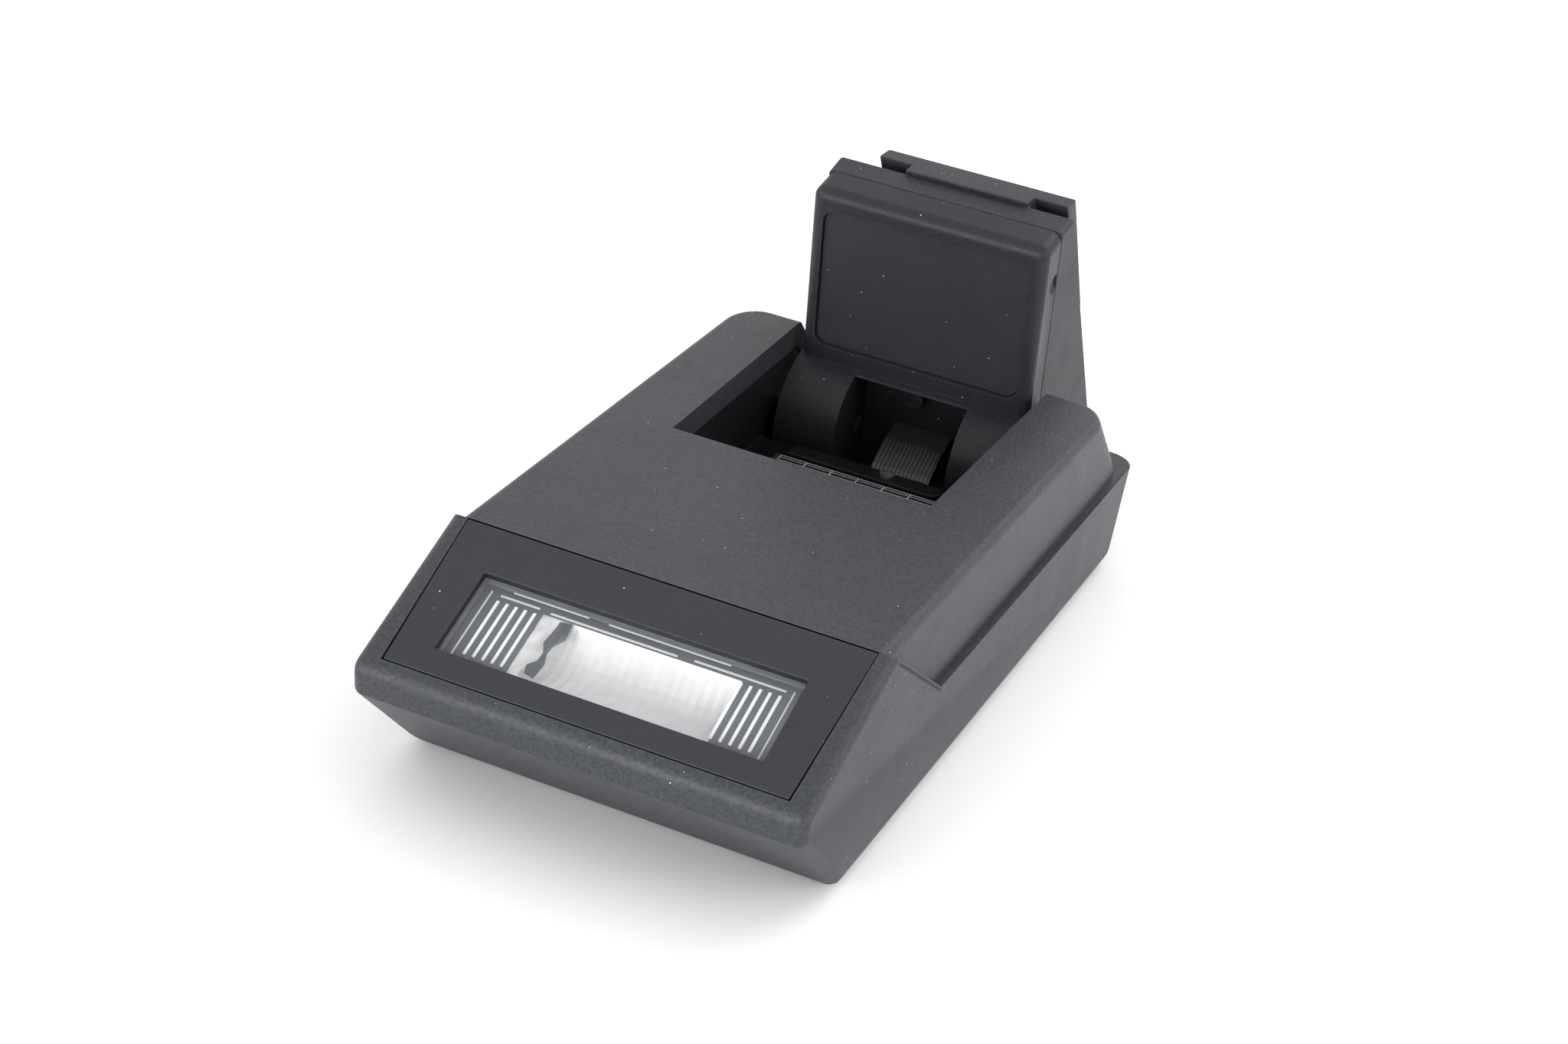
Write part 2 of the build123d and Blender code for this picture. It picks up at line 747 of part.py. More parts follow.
def block_local(point):
    """The (u, v) place of a point in the block's axes."""
    local = BLOCK.to_local_coords(point)
    return local.X, local.Y


def block_panel():
    """Flat plate in the block's front face."""
    v0 = block_front + panel_inset
    plate = block_box(-panel_half, panel_half, panel_low, panel_high, v0, v0 + panel_thickness)
    posts = [e for e in plate.edges() if v0 + 0.1 < block_local(e.center())[1] < v0 + panel_thickness - 0.1]
    return fillet(posts, panel_radius - 0.05)


def wedge_outline(inset):
    """The wedge's (u, v) outline, inside by an inset."""
    low_front = -5.2
    return [(block_top - inset, block_split), (block_top - inset, wedge_depth(block_top) - inset),
            (wedge_low + inset, wedge_depth(wedge_low) - inset * 1.2),
            (low_front + inset, block_split)]


def flare_prism(inset):
    """The space between the wedge's sides, which spread towards the rear."""
    deep = wedge_depth(wedge_low)
    a, b = block_half - inset, wedge_half_rear - inset
    face = make_face(Polyline((block_split, -a), (deep, -b), (deep, b), (block_split, a),
                              close=True))
    plane = Plane(origin=(0, hinge_y, hinge_z), x_dir=(0, cos(lean), sin(lean)),
                  z_dir=(0, -sin(lean), cos(lean)))
    flat = Pos(0, 0, -20) * extrude(face, amount=60)
    return plane * flat


def block_rear_shell():
    """Wedge-shaped rear half of the block, hollow."""
    body = block_prism(wedge_outline(0), -FAR, FAR) & flare_prism(0)
    top_edges = [e for e in body.edges() if block_local(e.center())[0] > block_top - 0.1
                 and abs(e.center().X) > block_half - 1]
    body = fillet(top_edges, 0.5)
    hollow = block_prism(wedge_outline(block_wall), -FAR, FAR) & flare_prism(block_wall)
    hollow = hollow & block_box(-FAR, FAR, -FAR, FAR, block_split, FAR)
    ring = hinge_cylinder(barrel_radius + 0.05, -FAR, FAR)
    body -= hollow - ring
    band = block_box(-FAR, FAR, -FAR, FAR, block_split, block_split + groove_width)
    core = block_box(-block_half + groove_depth, block_half - groove_depth, -FAR,
                     block_top - groove_depth, block_split, block_split + groove_width)
    return body - (band - core)


def foot_plane():
    """A plane on the wedge's rear face: its X runs up the foot, its normal points out."""
    angle = lean + foot_angle
    up = Vector(0, -sin(angle), cos(angle))
    out = Vector(0, cos(angle), sin(angle))
    corner = BLOCK.from_local_coords(Vector(block_top, wedge_depth(block_top), 0))
    return Plane(origin=(foot_offset, corner.Y, corner.Z), x_dir=up, z_dir=out)


def foot_box(width, s0, s1, d0, d1):
    """A box on the foot: s down from its top, d out from the wedge."""
    plane = foot_plane()
    return plane * box(-s1, -s0, -width / 2, width / 2, d0, d1)


def shoe_foot():
    """Standard accessory shoe foot: a plate on a narrower neck."""
    foot = foot_box(foot_neck, -1.5, foot_length, 0, foot_gap + 0.1)
    plate = foot_box(foot_width, -3.5, foot_length - 0.5, foot_gap, foot_gap + foot_thickness)
    corners = [e for e in plate.edges() if e.length < foot_thickness + 0.01
               and e.length > foot_thickness - 0.01]
    plate = fillet(corners, 0.5)
    foot += plate
    foot += foot_box(foot_neck + 4, foot_length - 0.5, foot_length + 3.5, 0, foot_gap + 0.6)
    top = BLOCK.from_local_coords(Vector(block_top, wedge_depth(block_top), 0)).Z + 0.5
    foot -= box(-FAR, FAR, -FAR, FAR, top, top + 20)
    return foot


def shoe_contacts():
    """Sync contacts standing out of the foot plate."""
    plane = foot_plane()
    outer = foot_gap + foot_thickness
    pins = []
    for down, across, radius in ((9.0, 0.0, contact_radius), (14.0, 3.4, 0.6)):
        pin = Pos(-down, across, outer + 0.1) * Cylinder(radius, 0.2)
        pins.append(plane * pin)
    return Compound(pins)


def terminal_board():
    """Small board inside the block that the sync contacts are wired to."""
    back = block_split
    board = block_box(-8, 8, 9.5, 21, back - board_thickness, back)
    for x in (-7.0, 6.0):
        board += block_box(x, x + 1, 10, 20.5, front_shell_floor, back - board_thickness)
    return board


def flex_ribbon():
    """Flat cable seen in the hinge window, rolled on its guide."""
    x0, x1 = -2.2, 3.6
    outline = [(-0.4, window_back), (-0.7, -0.4), (-1.9, -3.1), (-3.4, -4.7), (-3.7, -4.4),
               (-2.3, -2.9), (-1.1, -0.3), (-0.8, window_back)]
    return block_prism(outline, x0, x1)


def ribbon_clamp():
    """Round knob on the hinge window's rear wall."""
    body = Rot(90, 0, 0) * Cylinder(1.0, 1.2)
    return BLOCK * (Pos(3.4, window_back - 0.6, -knob_x) * body)


PIECES = {
    "lower_shell": lower_shell,
    "top_cover": top_cover,
    "pocket_liner": pocket_liner,
    "hinge_pins": hinge_pins,
    "window_bezel": window_bezel,
    "window_lens": window_lens,
    "reflector": reflector,
    "xenon_tube": xenon_tube,
    "tube_sleeves": tube_sleeves,
    "main_capacitor": main_capacitor,
    "capacitor_cradle": capacitor_cradle,
    "battery": battery,
    "battery_holder": battery_holder,
    "battery_contacts": battery_contacts,
    "main_board": main_board,
    "power_board": power_board,
    "transformer": transformer,
    "trigger_coil": trigger_coil,
    "case_screws": case_screws,
    "battery_door": battery_door,
    "floor_label": floor_label,
    "switch_bar": switch_bar,
    "switch_eyelet": switch_eyelet,
    "test_button": test_button,
    "test_switch": test_switch,
    "ready_lamp": ready_lamp,
    "control_brackets": control_brackets,
    "block_front_shell": block_front_shell,
    "block_panel": block_panel,
    "block_rear_shell": block_rear_shell,
    "shoe_foot": shoe_foot,
    "shoe_contacts": shoe_contacts,
    "terminal_board": terminal_board,
    "flex_ribbon": flex_ribbon,
    "ribbon_clamp": ribbon_clamp,
}

for node, make in PIECES.items():
    save(make(), node)
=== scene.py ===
"""Looks of the pocket flash unit: materials, softened edges, the window's optics and the studio."""
import json
import math

import bmesh
import bpy
from mathutils import Euler, Matrix, Vector


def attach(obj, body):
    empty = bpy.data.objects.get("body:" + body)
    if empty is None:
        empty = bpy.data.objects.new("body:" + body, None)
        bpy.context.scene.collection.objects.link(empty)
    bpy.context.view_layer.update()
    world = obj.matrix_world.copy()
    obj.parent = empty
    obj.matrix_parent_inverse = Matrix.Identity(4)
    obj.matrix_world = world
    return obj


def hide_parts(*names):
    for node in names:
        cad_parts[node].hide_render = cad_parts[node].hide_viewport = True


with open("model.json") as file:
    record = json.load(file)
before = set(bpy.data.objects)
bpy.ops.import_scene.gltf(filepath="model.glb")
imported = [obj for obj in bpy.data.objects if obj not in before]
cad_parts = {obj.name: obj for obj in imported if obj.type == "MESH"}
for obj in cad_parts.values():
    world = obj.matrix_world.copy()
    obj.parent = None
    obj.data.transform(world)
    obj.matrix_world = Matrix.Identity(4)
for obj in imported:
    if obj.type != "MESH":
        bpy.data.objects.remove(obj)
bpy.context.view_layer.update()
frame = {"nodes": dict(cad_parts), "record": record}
nodes = frame["nodes"]
MM = 0.001

BODY_OF = {}
for body_name, members in frame["record"]["behaviour"]["bodies"].items():
    for member in members:
        BODY_OF[member] = body_name

# ---- places shared with the CAD model, in millimetres ---------------------------------
HEIGHT = 18.8
SLOPE = math.radians(24.65)
SLOPE_TOP = -25.8
COVER_FOOT = -12.5
PARTING = 10.0
SIDE_HALF = 19.25
SIDE_TAPER = 0.0087
LEDGE = 0.75                # step in from the lower shell's side to the cover's
FLOOR_PLATE_TOP = 9.4
LEAN = math.radians(10.8)
HINGE = (0.0, 29.6, 10.6)


def slope_matrix():
    """X across, Y up the window slope, Z out of it, with the origin at its top edge."""
    c, s = math.cos(SLOPE), math.sin(SLOPE)
    return Matrix(((1, 0, 0, 0), (0, c, -s, SLOPE_TOP), (0, s, c, HEIGHT), (0, 0, 0, 1)))


def block_matrix():
    """X across, Y through the block's thickness, Z up its height, from the hinge axis."""
    c, s = math.cos(LEAN), math.sin(LEAN)
    return Matrix(((1, 0, 0, HINGE[0]), (0, c, -s, HINGE[1]), (0, s, c, HINGE[2]), (0, 0, 0, 1)))


# ---- materials -------------------------------------------------------------------------
def new_material(name):
    """A material with its node tree, shader and millimetre coordinates."""
    mat = bpy.data.materials.new(name)
    mat.use_nodes = True
    tree = mat.node_tree
    shader = tree.nodes["Principled BSDF"]
    coord = tree.nodes.new("ShaderNodeTexCoord")
    scale = tree.nodes.new("ShaderNodeVectorMath")
    scale.operation = "SCALE"
    scale.inputs["Scale"].default_value = 1000.0
    tree.links.new(coord.outputs["Object"], scale.inputs[0])
    return mat, tree, shader, scale.outputs[0]


def noise(tree, where, per_mm, detail=2.0, rough=0.5):
    """A noise texture with a scale in cycles per millimetre."""
    node = tree.nodes.new("ShaderNodeTexNoise")
    node.inputs["Scale"].default_value = per_mm
    node.inputs["Detail"].default_value = detail
    node.inputs["Roughness"].default_value = rough
    tree.links.new(where, node.inputs["Vector"])
    return node.outputs["Fac"]


def ramp(tree, value, low, high, to_low=0.0, to_high=1.0):
    """A value carried from one range to another, clamped."""
    node = tree.nodes.new("ShaderNodeMapRange")
    node.inputs["From Min"].default_value = low
    node.inputs["From Max"].default_value = high
    node.inputs["To Min"].default_value = to_low
    node.inputs["To Max"].default_value = to_high
    tree.links.new(value, node.inputs["Value"])
    return node.outputs["Result"]


def mix(tree, factor, a, b):
    """Two colours mixed by a factor. Each is a link or a colour."""
    node = tree.nodes.new("ShaderNodeMix")
    node.data_type = "RGBA"
    tree.links.new(factor, node.inputs["Factor"])
    for socket, value in ((node.inputs[6], a), (node.inputs[7], b)):
        if isinstance(value, tuple):
            socket.default_value = (*value, 1.0)
        else:
            tree.links.new(value, socket)
    return node.outputs[2]


def edge_mask(tree, radius_mm):
    """One near outside edges and nothing on flats."""
    bevel = tree.nodes.new("ShaderNodeBevel")
    bevel.samples = 4
    bevel.inputs["Radius"].default_value = radius_mm * MM
    plain = tree.nodes.new("ShaderNodeNewGeometry")
    dot = tree.nodes.new("ShaderNodeVectorMath")
    dot.operation = "DOT_PRODUCT"
    tree.links.new(bevel.outputs["Normal"], dot.inputs[0])
    tree.links.new(plain.outputs["Normal"], dot.inputs[1])
    return ramp(tree, dot.outputs["Value"], 0.995, 0.90)


def specks(tree, where, per_mm, size, keep):
    """Sparse small dots, such as dust."""
    cell = tree.nodes.new("ShaderNodeTexVoronoi")
    cell.inputs["Scale"].default_value = per_mm
    tree.links.new(where, cell.inputs["Vector"])
    near = ramp(tree, cell.outputs["Distance"], size * per_mm, size * per_mm * 0.6)
    split = tree.nodes.new("ShaderNodeSeparateColor")
    tree.links.new(cell.outputs["Color"], split.inputs[0])
    chosen = tree.nodes.new("ShaderNodeMath")
    chosen.operation = "LESS_THAN"
    chosen.inputs[1].default_value = keep
    tree.links.new(split.outputs[0], chosen.inputs[0])
    both = tree.nodes.new("ShaderNodeMath")
    both.operation = "MULTIPLY"
    tree.links.new(near, both.inputs[0])
    tree.links.new(chosen.outputs[0], both.inputs[1])
    return both.outputs[0]


def plastic(name, colour, rough=0.5, grain=0.3, grain_mm=0.28, dust=0.5, wear=0.35, spec=0.5):
    """Moulded plastic with a fine grain, uneven sheen, dust and lightly rubbed edges."""
    mat, tree, shader, where = new_material(name)
    lighter = tuple(min(1.0, c * 1.07) for c in colour)
    darker = tuple(c * 0.94 for c in colour)
    base = mix(tree, ramp(tree, noise(tree, where, 0.09, 4.0, 0.6), 0.35, 0.65), darker, lighter)
    fine = noise(tree, where, 1.0 / grain_mm, 3.0, 0.6)
    base = mix(tree, ramp(tree, fine, 0.40, 0.60, 0.0, grain), base, tuple(c * 0.55 for c in colour))
    if wear:
        worn = tuple(min(1.0, c * 1.9 + 0.02) for c in colour)
        patchy = tree.nodes.new("ShaderNodeMath")
        patchy.operation = "MULTIPLY"
        tree.links.new(edge_mask(tree, 0.22), patchy.inputs[0])
        tree.links.new(ramp(tree, noise(tree, where, 0.7, 4.0), 0.35, 0.7, 0.15, wear),
                       patchy.inputs[1])
        base = mix(tree, patchy.outputs[0], base, worn)
    if dust:
        base = mix(tree, specks(tree, where, 1.0, 0.08, 0.09 * dust), base, (0.45, 0.46, 0.47))
        base = mix(tree, specks(tree, where, 1.6, 0.05, 0.09 * dust), base, (0.35, 0.36, 0.37))
    tree.links.new(base, shader.inputs["Base Color"])
    sheen = ramp(tree, noise(tree, where, 0.16, 5.0, 0.62), 0.3, 0.7, rough - 0.03, rough + 0.04)
    tree.links.new(sheen, shader.inputs["Roughness"])
    shader.inputs["Specular IOR Level"].default_value = spec
    if grain:
        bump = tree.nodes.new("ShaderNodeBump")
        bump.inputs["Strength"].default_value = grain
        bump.inputs["Distance"].default_value = 0.07 * MM
        tree.links.new(fine, bump.inputs["Height"])
        tree.links.new(bump.outputs["Normal"], shader.inputs["Normal"])
    return mat


def metal(name, colour, rough=0.3, brushed=0.0, dull=0.3, metallic=1.0):
    """Metal with fine brushing or pitting and dull patches."""
    mat, tree, shader, where = new_material(name)
    shader.inputs["Metallic"].default_value = metallic
    stain = tuple(c * (1.0 - 0.35 * dull) for c in colour)
    tone = ramp(tree, noise(tree, where, 0.5, 5.0, 0.65), 0.35, 0.7)
    tree.links.new(mix(tree, tone, colour, stain), shader.inputs["Base Color"])
    tree.links.new(ramp(tree, noise(tree, where, 0.9, 5.0), 0.3, 0.7, rough, rough + 0.18),
                   shader.inputs["Roughness"])
    bump = tree.nodes.new("ShaderNodeBump")
    bump.inputs["Strength"].default_value = 0.2 + brushed
    bump.inputs["Distance"].default_value = 0.01 * MM
    tree.links.new(noise(tree, where, 6.0, 3.0), bump.inputs["Height"])
    tree.links.new(bump.outputs["Normal"], shader.inputs["Normal"])
    return mat


def clear(name, colour, alpha, rough=0.06, spec=0.5):
    """Clear plastic or glass that light passes through."""
    mat, tree, shader, where = new_material(name)
    shader.inputs["Base Color"].default_value = (*colour, 1.0)
    shader.inputs["Alpha"].default_value = alpha
    shader.inputs["Specular IOR Level"].default_value = spec
    shader.inputs["IOR"].default_value = 1.49
    tree.links.new(ramp(tree, noise(tree, where, 0.8, 4.0), 0.3, 0.7, rough, rough + 0.1),
                   shader.inputs["Roughness"])
    return mat


# plastic: name, colour, roughness, grain strength, grain size in mm, dust, wear, specular
# metal: name, colour, roughness, brushing, dullness, metallic; clear: name, colour, alpha, roughness
M = {
    "body": plastic("body_grain", (0.036, 0.0395, 0.0465), 0.46, 0.8, 0.3, 0.8, 0.3, 0.34),
    "bezel": plastic("bezel_satin", (0.0195, 0.0215, 0.0265), 0.46, 0.35, 0.2, 0.6, 0.3, 0.34),
    "pocket": plastic("pocket_black", (0.008, 0.0085, 0.0095), 0.4, 0.15, 0.3, 0.3, 0.2, 0.25),
    "block": plastic("block_black", (0.0195, 0.021, 0.0245), 0.43, 0.45, 0.24, 0.7, 0.5, 0.22),
    "panel": plastic("panel_satin", (0.0185, 0.0207, 0.0248), 0.5, 0.35, 0.2, 0.9, 0.1, 0.35),
    "rear": plastic("rear_charcoal", (0.034, 0.0365, 0.043), 0.5, 0.7, 0.28, 1.4, 0.4, 0.2),
    "door": plastic("door_charcoal", (0.040, 0.043, 0.049), 0.5, 0.5, 0.26, 0.3, 0.3),
    "inner": plastic("inner_grey", (0.16, 0.16, 0.17), 0.5, 0.2, 0.3, 0.2, 0.1),
    "button": plastic("button_grey", (0.20, 0.20, 0.21), 0.4, 0.2, 0.2, 0.2, 0.3),
    "ribbon": plastic("ribbon_smoke", (0.035, 0.035, 0.037), 0.25, 0.1, 0.3, 0.0, 0.0),
    "rubber": plastic("sleeve_silicone", (0.50, 0.50, 0.48), 0.55, 0.2, 0.3, 0.2, 0.0),
    "capacitor": plastic("capacitor_sleeve", (0.02, 0.025, 0.06), 0.25, 0.05, 0.5, 0.1, 0.0),
    "cell": plastic("cell_sleeve", (0.45, 0.36, 0.14), 0.28, 0.05, 0.5, 0.1, 0.0),
    "board": plastic("board_green", (0.05, 0.13, 0.05), 0.3, 0.2, 0.4, 0.0, 0.0),
    "ferrite": plastic("ferrite_dark", (0.05, 0.05, 0.055), 0.6, 0.5, 0.2, 0.0, 0.2),
    "copper": metal("coil_copper", (0.72, 0.36, 0.18), 0.3, 0.1),
    "steel": metal("steel_bright", (0.60, 0.60, 0.61), 0.28, 0.2),
    "nickel": metal("nickel_strip", (0.70, 0.68, 0.63), 0.3, 0.1),
    "brass": metal("contact_brass", (0.78, 0.60, 0.32), 0.24, 0.1),
    "label": plastic("label_black", (0.03, 0.031, 0.033), 0.3, 0.05, 0.3, 0.3, 0.1),
    "print": plastic("label_lines", (0.45, 0.46, 0.47), 0.5, 0.1, 0.3, 0.0, 0.0),
    "foil": metal("reflector_foil", (0.66, 0.665, 0.675), 0.32, 0.3, 0.3, 0.15),
    "tray": plastic("window_tray", (0.085, 0.09, 0.10), 0.4, 0.1, 0.3, 0.0, 0.0),
    "rib": plastic("cable_rib", (0.055, 0.057, 0.06), 0.35, 0.1, 0.3, 0.0, 0.0),
    "dark_steel": metal("dark_steel", (0.11, 0.11, 0.115), 0.4, 0.1),
    "lens": clear("lens_clear", (0.70, 0.73, 0.75), 0.07, 0.05),
    # Whitish, mostly opaque prism bars: painted highlight on real clear prisms.
    "prism": clear("lens_prism_painted_highlight", (0.85, 0.86, 0.88), 0.62, 0.15),
    # Whitish, mostly opaque step lines: painted glints on the lens's clear steps.
    "edge": clear("lens_glint_paint", (0.62, 0.64, 0.66), 0.6, 0.12),
    "tube": clear("tube_quartz", (0.93, 0.95, 0.96), 0.12, 0.04),
    "lamp": clear("lamp_orange", (0.75, 0.13, 0.03), 0.9, 0.15),
    # Dark lines: real seam lines on the ledge, and painted shade where the cover's step meets the lower
    # shell.
    "seam_and_shade": plastic("seam_and_painted_shade_dark", (0.006, 0.006, 0.007), 0.7, 0.0, 0.3, 0.0, 0.0),
}

LOOK = {
    "lower_shell": "body", "top_cover": "body", "pocket_liner": "pocket", "hinge_pins": "steel",
    "window_bezel": "bezel", "window_lens": "lens", "reflector": "foil", "xenon_tube": "tube",
    "tube_sleeves": "rubber", "main_capacitor": "capacitor", "capacitor_cradle": "inner",
    "battery": "cell", "battery_holder": "inner", "battery_contacts": "nickel",
    "main_board": "board", "power_board": "board", "transformer": "ferrite",
    "trigger_coil": "copper", "case_screws": "steel", "battery_door": "door",
    "floor_label": "label", "switch_bar": "pocket", "switch_eyelet": "nickel",
    "test_button": "button", "test_switch": "inner", "ready_lamp": "lamp",
    "control_brackets": "inner", "block_front_shell": "block", "block_panel": "panel",
    "block_rear_shell": "rear", "shoe_foot": "rear", "shoe_contacts": "brass",
    "terminal_board": "board", "flex_ribbon": "ribbon", "ribbon_clamp": "dark_steel",
}
ROUND_MM = {
    "lower_shell": 0.18, "top_cover": 0.16, "window_bezel": 0.12, "block_front_shell": 0.3,
    "block_rear_shell": 0.35, "shoe_foot": 0.22, "battery_door": 0.12, "pocket_liner": 0.12,
    "block_panel": 0.08, "switch_bar": 0.12, "case_screws": 0.06, "test_button": 0.05,
}


def soften(node, width_mm):
    """A copy of a CAD piece with small rounded edges that stands in for it."""
    source = nodes[node]
    mesh = source.data.copy()
    piece = bpy.data.objects.new(node + "_look", mesh)
    bpy.context.scene.collection.objects.link(piece)
    piece.matrix_world = source.matrix_world.copy()
    work = bmesh.new()
    work.from_mesh(mesh)
    bmesh.ops.remove_doubles(work, verts=work.verts, dist=0.002 * MM)
    bmesh.ops.dissolve_limit(work, angle_limit=math.radians(0.5), verts=work.verts,
                             edges=work.edges, use_dissolve_boundaries=False)
    work.to_mesh(mesh)
    work.free()
    bevel = piece.modifiers.new("edge", "BEVEL")
    bevel.width = width_mm * MM
    bevel.segments = 2
    bevel.limit_method = "ANGLE"
    bevel.angle_limit = math.radians(28)
    bevel.use_clamp_overlap = True
    bevel.harden_normals = True
    mesh.shade_smooth()
    mesh.set_sharp_from_angle(angle=math.radians(28))
    mesh.materials.clear()
    mesh.materials.append(M[LOOK[node]])
    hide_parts(node)
    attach(piece, BODY_OF[node])
    return piece


for node_name, look in LOOK.items():
    if node_name in ROUND_MM:
        soften(node_name, ROUND_MM[node_name])
    else:
        data = nodes[node_name].data
        data.materials.clear()
        data.materials.append(M[look])


# ---- small solids --------------------------------------------------------------------
def piece_from(name, verts, faces, material, matrix, body, smooth=False):
    """A mesh piece given in millimetres in some matrix's axes."""
    mesh = bpy.data.meshes.new(name)
    mesh.from_pydata([(matrix @ Vector(v)) * MM for v in verts], [], faces)
    mesh.materials.append(material)
    if smooth:
        mesh.shade_smooth()
    mesh.update()
    piece = bpy.data.objects.new(name, mesh)
    bpy.context.scene.collection.objects.link(piece)
    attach(piece, body)
    return piece


def box_data(x0, x1, y0, y1, z0, z1):
    """Corners and faces of a box."""
    verts = [(x, y, z) for x in (x0, x1) for y in (y0, y1) for z in (z0, z1)]
    faces = [(0, 1, 3, 2), (4, 6, 7, 5), (0, 4, 5, 1), (2, 3, 7, 6), (0, 2, 6, 4), (1, 5, 7, 3)]
    return verts, faces


def boxes(name, specs, material, matrix, body):
    """Several boxes in one piece."""
    verts, faces = [], []
    for spec in specs:
        v, f = box_data(*spec)
        faces += [tuple(i + len(verts) for i in face) for face in f]
        verts += v
    return piece_from(name, verts, faces, material, matrix, body)


# ---- window optics ---------------------------------------------------------------------
ON_SLOPE = slope_matrix()
TROUGH_HALF = 8.5           # half the width of the lit part between the prism bars


def ridges(name, positions, s0, s1, width, depth, z, material):
    """Small triangular ridges that run down the slope."""
    verts, faces = [], []
    for x in positions:
        k = len(verts)
        for s in (s0, s1):
            verts += [(x - width / 2, -s, z), (x + width / 2, -s, z), (x, -s, z - depth)]
        faces += [(k, k + 1, k + 4, k + 3), (k + 1, k + 2, k + 5, k + 4),
                  (k + 2, k, k + 3, k + 5), (k, k + 2, k + 1), (k + 3, k + 4, k + 5)]
    return piece_from(name, verts, faces, material, ON_SLOPE, "body")


def lens_prisms():
    """Five real prism ridges at each end of the window, made whitish and mostly opaque: a painted
    highlight for the light caught in the clear prisms.
    """
    first, pitch, bars = 8.75, 0.8, 5
    right = [first + pitch * i for i in range(bars)]
    ridges("lens_prisms", [-x for x in right] + right, 5.7, 11.3, 0.26, 0.12, -1.25, M["prism"])


def lens_trays():
    """Grey frame behind the window, round the lit trough."""
    outer, top, bottom = 14.3, -3.75, -13.0
    trough_top, trough_bottom = -5.05, -11.6
    low, high = -1.995, -1.93
    trays = [(-outer, -TROUGH_HALF, bottom, top, low, high),
             (TROUGH_HALF, outer, bottom, top, low, high),
             (-TROUGH_HALF, TROUGH_HALF, trough_top, top, low, high),
             (-TROUGH_HALF, TROUGH_HALF, bottom, trough_bottom, low, high)]
    boxes("lens_end_trays", trays, M["tray"], ON_SLOPE, "body")


lens_prisms()
lens_trays()
# Thin whitish bars at the lens's steps: painted glints standing in for the light caught on the clear
# stepped moulding.
lens_step_glints = [(-12.0, -8.6, -5.25, -5.12, -1.3, -1.2), (-7.6, 3.2, -5.35, -5.22, -1.3, -1.2),
              (4.6, 12.2, -5.25, -5.12, -1.3, -1.2), (-13.0, 13.0, -11.95, -11.8, -1.2, -1.1),
              (-12.9, -12.78, -11.8, -5.0, -1.3, -1.2), (12.78, 12.9, -11.8, -5.0, -1.3, -1.2),
              (-11.0, -4.5, -4.85, -4.78, -0.9, -0.8), (-2.8, 7.5, -4.85, -4.78, -0.9, -0.8),
              (-12.6, 12.6, -12.22, -12.12, -0.8, -0.7)]
boxes("lens_step_glints_painted", lens_step_glints, M["edge"], ON_SLOPE, "body")


def foil_sheet():
    """Bright trough lining with fine cross ripples and a creased left end."""
    verts, faces = [], []
    nx, ny = 150, 16
    s_low, s_high = 4.9, 11.7
    for j in range(ny + 1):
        t = j / ny
        s = s_low + (s_high - s_low) * t
        for i in range(nx + 1):
            x = -TROUGH_HALF + 2 * TROUGH_HALF * i / nx
            end = min(1.0, (x + 8.6) / 1.7, (8.8 - x) / 0.5)
            bowl = -2.1 - 1.4 * end * math.sin(math.pi * t) ** 0.8
            ripple = 0.035 * math.sin(x * 7.1 + 0.6 * math.sin(s * 1.3)) + 0.02 * math.sin(x * 17.0)
            crease = 0.0
            if x < -6.4:
                crease = 0.35 * abs(math.sin(2.3 * (x + 6.4) + 1.7 * s)) * min(1.0, (-6.4 - x))
            verts.append((x, -s, min(-2.05, bowl + ripple + crease)))
    for j in range(ny):
        for i in range(nx):
            k = j * (nx + 1) + i
            faces.append((k, k + 1, k + nx + 2, k + nx + 1))
    return piece_from("reflector_lining", verts, faces, M["foil"], ON_SLOPE, "body", True)


foil_sheet()


def trigger_tail():
    """Small bent lead at the reflector's left end."""
    verts, faces = [], []
    outline = [(-6.9, -5.2), (-5.9, -5.1), (-5.7, -6.7), (-6.3, -7.6), (-6.4, -8.4),
               (-6.1, -9.4), (-6.3, -10.9), (-7.2, -10.7), (-7.4, -9.9), (-6.8, -9.2),
               (-6.75, -8.4), (-7.2, -7.5), (-7.0, -6.4)]
    for z in (-2.02, -2.0):
        verts += [(x, y, z) for x, y in outline]
    n = len(outline)
    faces.append(tuple(range(n)))
    faces.append(tuple(range(2 * n - 1, n - 1, -1)))
    for i in range(n):
        j = (i + 1) % n
        faces.append((i, i + n, j + n, j))
    return piece_from("trigger_tail", verts, faces, M["tray"], ON_SLOPE, "body")


trigger_tail()

# ---- pocket and hinge details -------------------------------------------------------------
ON_BLOCK = block_matrix()


def ribbed_sheet():
    """Fine ribs on the flat cable inside the hinge window."""
    verts, faces = [], []
    line = [(-0.66, -0.4), (-1.86, -3.12), (-3.34, -4.68)]
    for i in range(14):
        x = -2.0 + 0.4 * i
        k = len(verts)
        for u, v in line:
            verts += [(x, v - 0.05, u + 0.06), (x + 0.16, v - 0.05, u + 0.06)]
        faces += [(k, k + 1, k + 3, k + 2), (k + 2, k + 3, k + 5, k + 4)]
    return piece_from("cable_ribs", verts, faces, M["rib"], ON_BLOCK, "foot_block")


ribbed_sheet()


def label_lines():
    """Plain ruled lines near the rear edge of the pocket's floor plate."""
    left, right = -9.0, 8.6
    low, high = FLOOR_PLATE_TOP - 0.01, FLOOR_PLATE_TOP + 0.004
    rows = [(left, right, y0, y1, low, high) for y0, y1 in ((19.0, 19.12), (19.7, 19.78), (20.1, 20.2))]
    columns = [(x, x + 0.12, 19.1, 20.1, low, high) for x in (-9.0, -6.4, -3.8, -1.2, 1.4, 4.0, 8.48)]
    boxes("label_lines", rows + columns, M["print"], Matrix.Identity(4), "body")


label_lines()
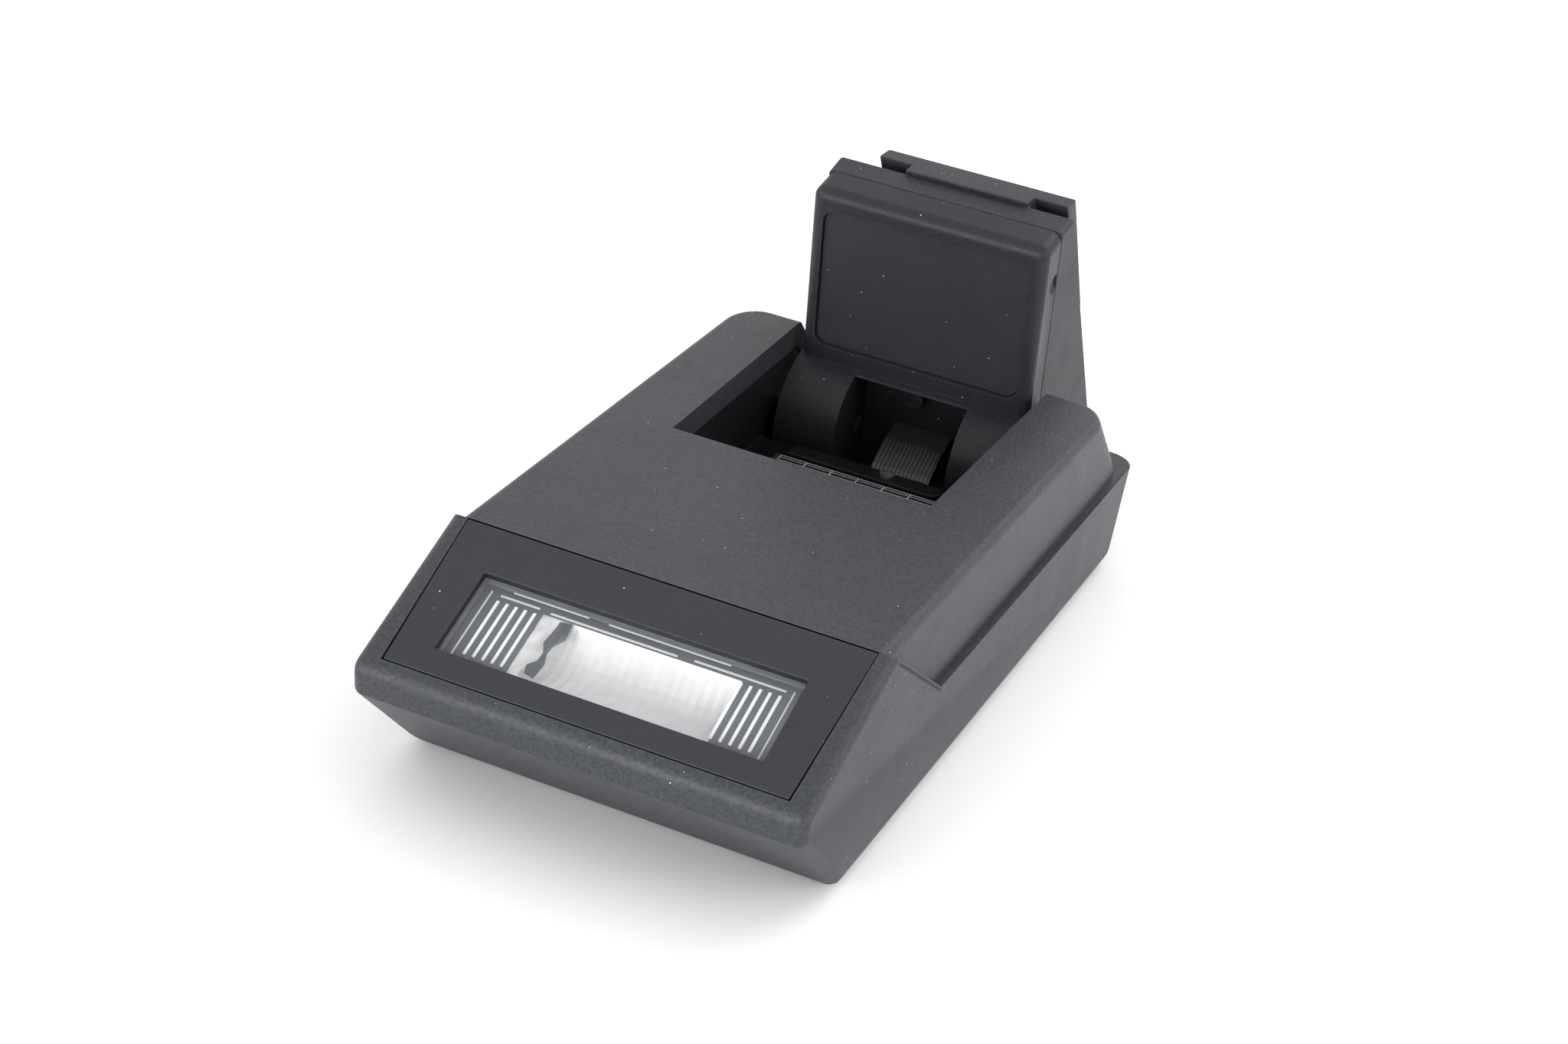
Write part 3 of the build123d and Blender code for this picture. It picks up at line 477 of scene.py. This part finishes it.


# ---- seam lines and painted step shade on both sides ------------------------------------
def ledge_seams():
    """Fine dark lines where the rear strip of the ledge begins."""
    specs = []
    start, line = 21.75, 0.12
    inner = SIDE_HALF - LEDGE + SIDE_TAPER * 21.8 + 0.02
    outer = SIDE_HALF + SIDE_TAPER * 21.8 - 0.02
    for side in (-1, 1):
        a, b = sorted((side * inner, side * outer))
        specs.append((a, b, start, start + line, PARTING - 0.01, PARTING + 0.004))
        edge0 = side * (outer - 0.10)
        edge1 = side * (outer - 0.03)
        a, b = sorted((edge0, edge1))
        specs.append((a, b, start + line, 37.0, PARTING - 0.01, PARTING + 0.003))
    return boxes("ledge_seam", specs, M["seam_and_shade"], Matrix.Identity(4), "body")


ledge_seams()


def painted_cover_step_shade():
    """Painted shade down each side: a dark strip on the lower shell just below the cover's slanted
    front edge, standing in for the shadow at the step.
    """
    run, drop = COVER_FOOT - SLOPE_TOP, HEIGHT - PARTING
    length = math.hypot(run, drop)
    along, across = (run / length, -drop / length), (-drop / length, -run / length)
    verts, faces = [], []
    for side in (-1, 1):
        for distance in (1.1, length + 0.1):
            for offset in (0.12, 0.40):
                y = SLOPE_TOP + along[0] * distance + across[0] * offset
                z = HEIGHT + along[1] * distance + across[1] * offset
                verts.append((side * (SIDE_HALF + SIDE_TAPER * y + 0.004), y, z))
        k = len(verts) - 4
        faces.append((k, k + 1, k + 3, k + 2))
    return piece_from("cover_step_painted_shade", verts, faces, M["seam_and_shade"], Matrix.Identity(4), "body")


painted_cover_step_shade()


# ---- studio -----------------------------------------------------------------------------
def floor():
    """Plain pale floor."""
    mesh = bpy.data.meshes.new("floor")
    s = 1.5
    mesh.from_pydata([(-s, -s, 0), (s, -s, 0), (s, s, 0), (-s, s, 0)], [], [(0, 1, 2, 3)])
    obj = bpy.data.objects.new("floor", mesh)
    bpy.context.scene.collection.objects.link(obj)
    obj.location = (0, 0, -0.00002)
    mat = bpy.data.materials.new("floor_pale")
    mat.use_nodes = True
    shader = mat.node_tree.nodes["Principled BSDF"]
    shader.inputs["Base Color"].default_value = (0.93, 0.93, 0.935, 1)
    shader.inputs["Roughness"].default_value = 0.85
    shader.inputs["Specular IOR Level"].default_value = 0.1
    mesh.materials.append(mat)


def area(name, place, target, size, watts, colour=(1, 1, 1)):
    """A soft box that looks at a point. Places are in metres."""
    data = bpy.data.lights.new(name, "AREA")
    data.shape = "RECTANGLE"
    data.size, data.size_y = size
    data.energy = watts
    data.color = colour
    lamp = bpy.data.objects.new(name, data)
    bpy.context.scene.collection.objects.link(lamp)
    lamp.location = place
    look = Vector(target) - Vector(place)
    lamp.rotation_euler = look.to_track_quat("-Z", "Y").to_euler()
    return lamp


floor()
area("key_back_right", (0.25, 0.45, 0.55), (0, 0, 0.01), (0.5, 0.4), 1.4)
area("side_right", (0.60, 0.02, 0.22), (0, 0, 0.01), (0.5, 0.35), 1.5)
area("fill_left", (-0.5, -0.15, 0.45), (0, 0, 0.01), (0.5, 0.5), 0.4)
area("front_low", (-0.12, -0.55, 0.09), (0, -0.03, 0.0), (0.7, 0.16), 3.2)

bpy.context.scene.view_settings.view_transform = "Standard"
world = bpy.data.worlds.new("studio")
bpy.context.scene.world = world
world.use_nodes = True
world.node_tree.nodes["Background"].inputs["Color"].default_value = (1, 1, 1, 1)
world.node_tree.nodes["Background"].inputs["Strength"].default_value = 1.02

camera_data = bpy.data.cameras.new("camera")
camera_data.sensor_width = 36.0
camera_data.lens = 64.76
camera_data.clip_start = 0.01
camera = bpy.data.objects.new("camera", camera_data)
bpy.context.scene.collection.objects.link(camera)
camera.location = (0.07121, -0.20338, 0.12013)
camera.rotation_euler = Euler((math.radians(63.399), math.radians(-7.758),
                               math.radians(23.315)), "XYZ")
bpy.context.scene.camera = camera
